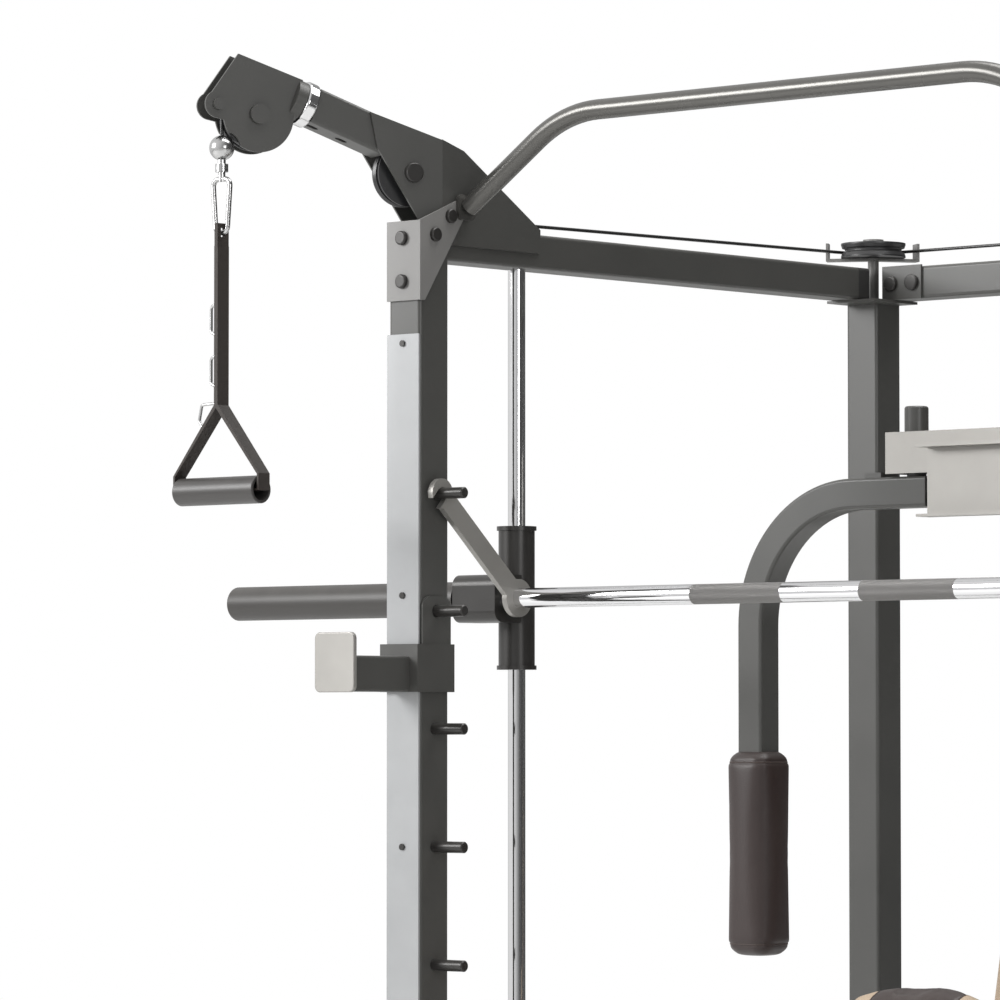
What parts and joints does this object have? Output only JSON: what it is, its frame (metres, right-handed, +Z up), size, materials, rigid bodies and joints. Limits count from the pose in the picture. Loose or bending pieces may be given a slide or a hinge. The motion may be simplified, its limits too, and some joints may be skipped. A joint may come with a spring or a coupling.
{
  "type": "multi station home gym",
  "caption": "Cage home gym with a guided bar, overhead cable arms, a pull-up bar, a pec-fly station and an upholstered bench.",
  "frame": {"origin": "on the floor under the middle of the machine's box", "axes": "+X to the right seen from the front, along the guided bar; +Y to the rear; +Z up"},
  "size_m": [2.236, 1.592, 2.2069],
  "materials": {
    "frame_paint": "dark grey powder coat with a satin sheen",
    "bracket_paint": "lighter grey powder coat",
    "bar_paint": "dark metallic paint",
    "guard_plate": "embossed tread plate",
    "dark_steel": "blackened steel",
    "chrome": "polished chrome",
    "zinc_plate": "dull zinc plating",
    "hook_steel": "plated steel",
    "sleeve_rubber": "ribbed rubber cover",
    "black_rubber": "moulded rubber",
    "pulley_nylon": "moulded nylon",
    "cable_cover": "plastic-coated wire rope",
    "brown_vinyl": "dark brown upholstery with tan panels",
    "roller_foam": "closed-cell foam",
    "webbing": "woven webbing",
    "grip_rubber": "moulded hand grip"
  },
  "bodies": {
    "frame": {"floor_frame": "frame_paint", "feet_and_caps": "black_rubber", "cage_posts": "frame_paint", "top_beams": "frame_paint", "mast": "frame_paint", "upright_guards": "guard_plate", "latch_pegs": "dark_steel", "pullup_bar": "bar_paint", "pullup_brackets": "bracket_paint", "crossover_arms": "frame_paint", "arm_gussets": "frame_paint", "swivel_collars": "chrome", "roller_pulleys": "pulley_nylon", "guide_rods": "chrome", "pulley_brackets": "bracket_paint", "fly_carrier": "zinc_plate", "fasteners": "dark_steel", "run_cables": "cable_cover", "bench_frame": "frame_paint", "seat_pad": "brown_vinyl", "lift_cables": "cable_cover"},
    "bar_carriage": {"carriages": "dark_steel"},
    "guided_bar": {"smith_bar": "chrome", "weight_sleeves": "sleeve_rubber", "latch_hooks": "zinc_plate"},
    "weight_carriage": {"weight_carriage": "frame_paint"},
    "back_rest": {"back_frame": "frame_paint", "back_pad": "brown_vinyl"},
    "curl_rest": {"curl_post": "chrome", "curl_pad": "brown_vinyl"},
    "leg_lever": {"leg_lever": "frame_paint", "leg_rollers": "roller_foam"},
    "spotter_left": {"spotter_left": "frame_paint", "spotter_plate_left": "zinc_plate"},
    "fly_left": {"fly_arm_left": "frame_paint", "fly_pad_left": "brown_vinyl"},
    "housing_left": {"end_housing_left": "frame_paint", "end_cable_left": "cable_cover", "drop_cable_left": "cable_cover"},
    "end_pulley_left": {"end_pulley_left": "pulley_nylon"},
    "gusset_pulley_left": {"gusset_pulley_left": "pulley_nylon"},
    "corner_pulley_left": {"corner_pulley_left": "pulley_nylon"},
    "center_pulley_left": {"center_pulley_left": "pulley_nylon"},
    "handle_left": {"snap_left": "hook_steel", "strap_left": "webbing"},
    "grip_left": {"grip_left": "grip_rubber"},
    "spotter_right": {"spotter_right": "frame_paint", "spotter_plate_right": "zinc_plate"},
    "fly_right": {"fly_arm_right": "frame_paint", "fly_pad_right": "brown_vinyl"},
    "housing_right": {"end_housing_right": "frame_paint", "end_cable_right": "cable_cover", "drop_cable_right": "cable_cover"},
    "end_pulley_right": {"end_pulley_right": "pulley_nylon"},
    "gusset_pulley_right": {"gusset_pulley_right": "pulley_nylon"},
    "corner_pulley_right": {"corner_pulley_right": "pulley_nylon"},
    "center_pulley_right": {"center_pulley_right": "pulley_nylon"},
    "handle_right": {"snap_right": "hook_steel", "strap_right": "webbing"},
    "grip_right": {"grip_right": "grip_rubber"}
  },
  "joints": [
    {"name": "bar_lift", "type": "slide", "parent": "frame", "child": "bar_carriage", "axis": [0, 0, 1], "range_m": [-0.8225, 0.1645]},
    {"name": "bar_turn", "type": "hinge", "parent": "bar_carriage", "child": "guided_bar", "pos_m": [0, -0.2, 1.458], "axis": [-1, 0, 0], "range_deg": [0, 40]},
    {"name": "stack_lift", "type": "slide", "parent": "frame", "child": "weight_carriage", "axis": [0, 0, 1], "range_m": [0, 0.75], "deforming": ["lift_cables"]},
    {"name": "back_recline", "type": "hinge", "parent": "frame", "child": "back_rest", "pos_m": [0, 0.357, 0.474], "axis": [-1, 0, 0], "range_deg": [-10, 7]},
    {"name": "curl_height", "type": "slide", "parent": "frame", "child": "curl_rest", "axis": [0, 0, 1], "range_m": [0, 0.1]},
    {"name": "leg_swing", "type": "hinge", "parent": "frame", "child": "leg_lever", "pos_m": [0, -0.02, 0.425], "axis": [-1, 0, 0], "range_deg": [0, 75]},
    {"name": "spotter_height_left", "type": "slide", "parent": "frame", "child": "spotter_left", "axis": [0, 0, 1], "range_m": [-0.8225, 0.1645]},
    {"name": "fly_swing_left", "type": "hinge", "parent": "frame", "child": "fly_left", "pos_m": [-0.222, 0.29, 1.671], "axis": [0, 0, 1], "range_deg": [0, 80]},
    {"name": "arm_swivel_left", "type": "hinge", "parent": "frame", "child": "housing_left", "pos_m": [-0.66953, -0.50889, 2.1399], "axis": [0.3516, 0.8703, -0.3448], "range_deg": [-22, 60]},
    {"name": "end_pulley_spin_left", "type": "hinge", "parent": "housing_left", "child": "end_pulley_left", "pos_m": [-0.70118, -0.58723, 2.1243], "axis": [0.9272, -0.3746, 0], "range_deg": [0, 890]},
    {"name": "gusset_pulley_spin_left", "type": "hinge", "parent": "frame", "child": "gusset_pulley_left", "pos_m": [-0.61469, -0.37315, 2.052], "axis": [0.9272, -0.3746, 0], "range_deg": [0, 1015]},
    {"name": "corner_pulley_spin_left", "type": "hinge", "parent": "frame", "child": "corner_pulley_left", "pos_m": [-0.6, 0.67, 2.012], "axis": [0, 0, 1], "range_deg": [0, 918]},
    {"name": "center_pulley_spin_left", "type": "hinge", "parent": "frame", "child": "center_pulley_left", "pos_m": [-0.075, 0.717, 1.9695], "axis": [0, -1, 0], "range_deg": [0, 1015]},
    {"name": "handle_pull_left", "type": "slide", "parent": "housing_left", "child": "handle_left", "axis": [0, 0, -1], "range_m": [0, 0.75], "deforming": ["drop_cable_left"]},
    {"name": "grip_spin_left", "type": "hinge", "parent": "handle_left", "child": "grip_left", "pos_m": [-0.71935, -0.6322, 1.601], "axis": [1, 0, 0], "continuous": true},
    {"name": "spotter_height_right", "type": "slide", "parent": "frame", "child": "spotter_right", "axis": [0, 0, 1], "range_m": [-0.8225, 0.1645]},
    {"name": "fly_swing_right", "type": "hinge", "parent": "frame", "child": "fly_right", "pos_m": [0.222, 0.29, 1.671], "axis": [0, 0, -1], "range_deg": [0, 80]},
    {"name": "arm_swivel_right", "type": "hinge", "parent": "frame", "child": "housing_right", "pos_m": [0.66953, -0.50889, 2.1399], "axis": [0.3516, -0.8703, 0.3448], "range_deg": [-22, 60]},
    {"name": "end_pulley_spin_right", "type": "hinge", "parent": "housing_right", "child": "end_pulley_right", "pos_m": [0.70118, -0.58723, 2.1243], "axis": [0.9272, 0.3746, 0], "range_deg": [0, 890]},
    {"name": "gusset_pulley_spin_right", "type": "hinge", "parent": "frame", "child": "gusset_pulley_right", "pos_m": [0.61469, -0.37315, 2.052], "axis": [0.9272, 0.3746, 0], "range_deg": [0, 1015]},
    {"name": "corner_pulley_spin_right", "type": "hinge", "parent": "frame", "child": "corner_pulley_right", "pos_m": [0.6, 0.67, 2.012], "axis": [0, 0, -1], "range_deg": [0, 918]},
    {"name": "center_pulley_spin_right", "type": "hinge", "parent": "frame", "child": "center_pulley_right", "pos_m": [0.075, 0.717, 1.9695], "axis": [0, 1, 0], "range_deg": [0, 1015]},
    {"name": "handle_pull_right", "type": "slide", "parent": "housing_right", "child": "handle_right", "axis": [0, 0, -1], "range_m": [0, 0.75], "deforming": ["drop_cable_right"]},
    {"name": "grip_spin_right", "type": "hinge", "parent": "handle_right", "child": "grip_right", "pos_m": [0.71935, -0.6322, 1.601], "axis": [1, 0, 0], "continuous": true}
  ],
  "couplings": [
    {"joint": "end_pulley_spin_left", "follows": "stack_lift", "rad_per_m": 20.619},
    {"joint": "gusset_pulley_spin_left", "follows": "stack_lift", "rad_per_m": 23.529},
    {"joint": "corner_pulley_spin_left", "follows": "stack_lift", "rad_per_m": 21.277},
    {"joint": "center_pulley_spin_left", "follows": "stack_lift", "rad_per_m": 23.529},
    {"joint": "handle_pull_left", "follows": "stack_lift", "ratio": 1},
    {"joint": "end_pulley_spin_right", "follows": "stack_lift", "rad_per_m": 20.619},
    {"joint": "gusset_pulley_spin_right", "follows": "stack_lift", "rad_per_m": 23.529},
    {"joint": "corner_pulley_spin_right", "follows": "stack_lift", "rad_per_m": 21.277},
    {"joint": "center_pulley_spin_right", "follows": "stack_lift", "rad_per_m": 23.529},
    {"joint": "handle_pull_right", "follows": "stack_lift", "ratio": 1}
  ]
}
